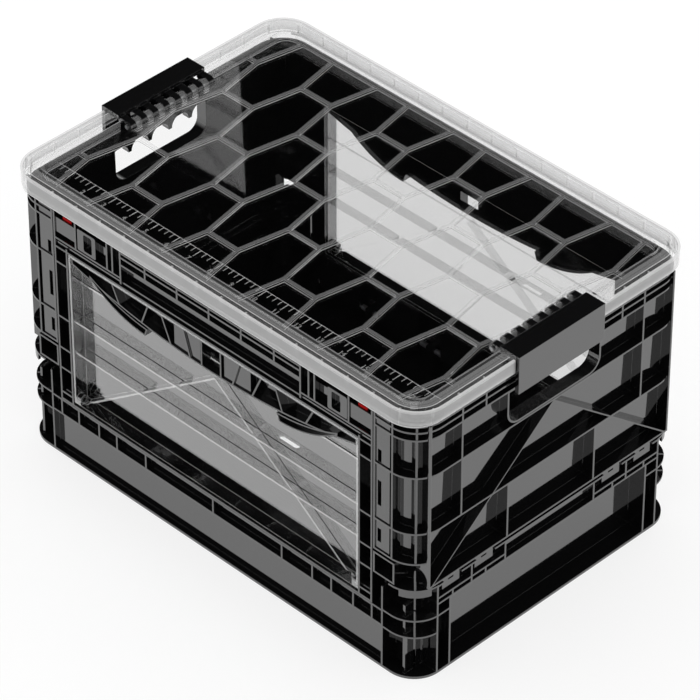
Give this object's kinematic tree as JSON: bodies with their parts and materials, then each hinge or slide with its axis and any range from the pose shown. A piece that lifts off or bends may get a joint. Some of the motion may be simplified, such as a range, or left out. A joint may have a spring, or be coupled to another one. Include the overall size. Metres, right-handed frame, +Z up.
{
  "type": "collapsible crate",
  "caption": "Ribbed folding crate with fold-down long walls, clear drop doors, hand holes and a clear latching lid with an inch scale.",
  "frame": {"origin": "centre of the flat underside of the tray, on the surface the crate stands on", "axes": "+X along the crate's length, +Y from the front long wall to the back one, +Z up"},
  "size_m": [0.486, 0.324, 0.287],
  "materials": {
    "black_plastic": "moulded polypropylene, satin to glossy",
    "clear_plastic": "clear moulded polycarbonate, polished",
    "red_plastic": "moulded red plastic",
    "steel": "drawn rod"
  },
  "bodies": {
    "base": {"base_tray": "black_plastic", "left_end_wall": "black_plastic", "right_end_wall": "black_plastic", "left_end_wall_pins": "steel", "right_end_wall_pins": "steel", "front_wall_pin": "steel", "back_wall_pin": "steel"},
    "lid": {"lid": "clear_plastic", "left_lid_latch_rod": "steel", "right_lid_latch_rod": "steel"},
    "left_lid_latch": {"left_lid_latch": "black_plastic"},
    "right_lid_latch": {"right_lid_latch": "black_plastic"},
    "front_wall": {"front_wall_frame": "black_plastic", "front_door_pins": "black_plastic"},
    "front_door": {"front_door": "clear_plastic"},
    "front_door_catch": {"front_door_catch": "black_plastic"},
    "front_left_slide_latch": {"front_left_slide_latch": "black_plastic", "front_left_indicator_flag": "red_plastic"},
    "front_right_slide_latch": {"front_right_slide_latch": "black_plastic", "front_right_indicator_flag": "red_plastic"},
    "back_wall": {"back_wall_frame": "black_plastic", "back_door_pins": "black_plastic"},
    "back_door": {"back_door": "clear_plastic"},
    "back_door_catch": {"back_door_catch": "black_plastic"},
    "back_left_slide_latch": {"back_left_slide_latch": "black_plastic", "back_left_indicator_flag": "red_plastic"},
    "back_right_slide_latch": {"back_right_slide_latch": "black_plastic", "back_right_indicator_flag": "red_plastic"}
  },
  "joints": [
    {"name": "front_wall_fold", "type": "hinge", "parent": "base", "child": "front_wall", "pos_m": [0, -0.145, 0.012], "axis": [-1, 0, 0], "range_deg": [0, 90]},
    {"name": "front_door_swing", "type": "hinge", "parent": "front_wall", "child": "front_door", "pos_m": [0, -0.153, 0.0715], "axis": [-1, 0, 0], "range_deg": [-90, 0]},
    {"name": "front_catch_pull", "type": "slide", "parent": "front_door", "child": "front_door_catch", "axis": [0, 0, -1], "range_m": [0, 0.0025], "stiffness_N_per_m": 1500, "springref_m": -0.002},
    {"name": "front_left_latch_slide", "type": "slide", "parent": "front_wall", "child": "front_left_slide_latch", "axis": [1, 0, 0], "range_m": [0, 0.012]},
    {"name": "front_right_latch_slide", "type": "slide", "parent": "front_wall", "child": "front_right_slide_latch", "axis": [-1, 0, 0], "range_m": [0, 0.012]},
    {"name": "back_wall_fold", "type": "hinge", "parent": "base", "child": "back_wall", "pos_m": [0, 0.145, 0.029], "axis": [1, 0, 0], "range_deg": [0, 90]},
    {"name": "back_door_swing", "type": "hinge", "parent": "back_wall", "child": "back_door", "pos_m": [0, 0.153, 0.0715], "axis": [1, 0, 0], "range_deg": [-90, 0]},
    {"name": "back_catch_pull", "type": "slide", "parent": "back_door", "child": "back_door_catch", "axis": [0, 0, -1], "range_m": [0, 0.0025], "stiffness_N_per_m": 1500, "springref_m": -0.002},
    {"name": "back_left_latch_slide", "type": "slide", "parent": "back_wall", "child": "back_left_slide_latch", "axis": [1, 0, 0], "range_m": [0, 0.012]},
    {"name": "back_right_latch_slide", "type": "slide", "parent": "back_wall", "child": "back_right_slide_latch", "axis": [-1, 0, 0], "range_m": [0, 0.012]},
    {"name": "lid_lift", "type": "slide", "parent": "base", "child": "lid", "axis": [0, 0, 1], "range_m": [0, 0.25]},
    {"name": "left_lid_latch_swing", "type": "hinge", "parent": "lid", "child": "left_lid_latch", "pos_m": [-0.2125, 0, 0.2793], "axis": [0, 1, 0], "range_deg": [0, 100]},
    {"name": "right_lid_latch_swing", "type": "hinge", "parent": "lid", "child": "right_lid_latch", "pos_m": [0.2125, 0, 0.2793], "axis": [0, -1, 0], "range_deg": [0, 100]}
  ]
}
